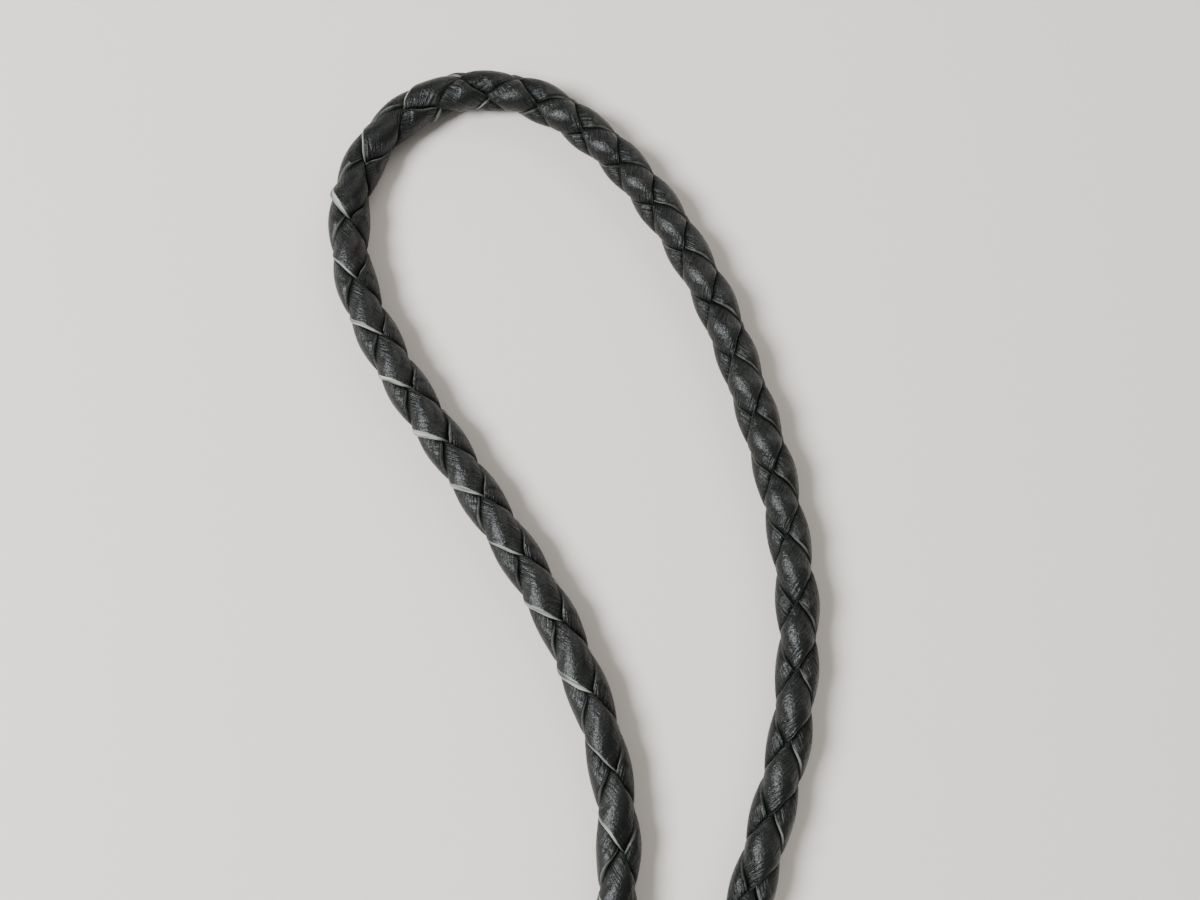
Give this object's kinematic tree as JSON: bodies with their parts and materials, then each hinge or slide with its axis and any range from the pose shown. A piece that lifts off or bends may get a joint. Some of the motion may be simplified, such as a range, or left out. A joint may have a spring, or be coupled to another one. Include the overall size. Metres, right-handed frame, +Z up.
{
  "type": "bolo tie",
  "caption": "Bolo tie: a round braided black leather cord laid as a neck loop, run through a plain oval metal slide, with a tapered metal tip on each end.",
  "frame": {"origin": "on the surface that the tie lies on, under the middle of its bounding box", "axes": "+Z up from the surface, +Y along the tie's length from the tips to the top of the neck loop, +X to the right seen from above"},
  "size_m": [0.0739, 0.44, 0.0132],
  "materials": {
    "black_leather": "semi-matt pigmented grain with paler cut edges",
    "polished_metal": "polished silver tone"
  },
  "bodies": {
    "root": {"strand_1": "black_leather", "strand_2": "black_leather", "strand_3": "black_leather", "strand_4": "black_leather", "slide": "polished_metal", "tip_left": "polished_metal", "tip_right": "polished_metal"}
  },
  "joints": []
}
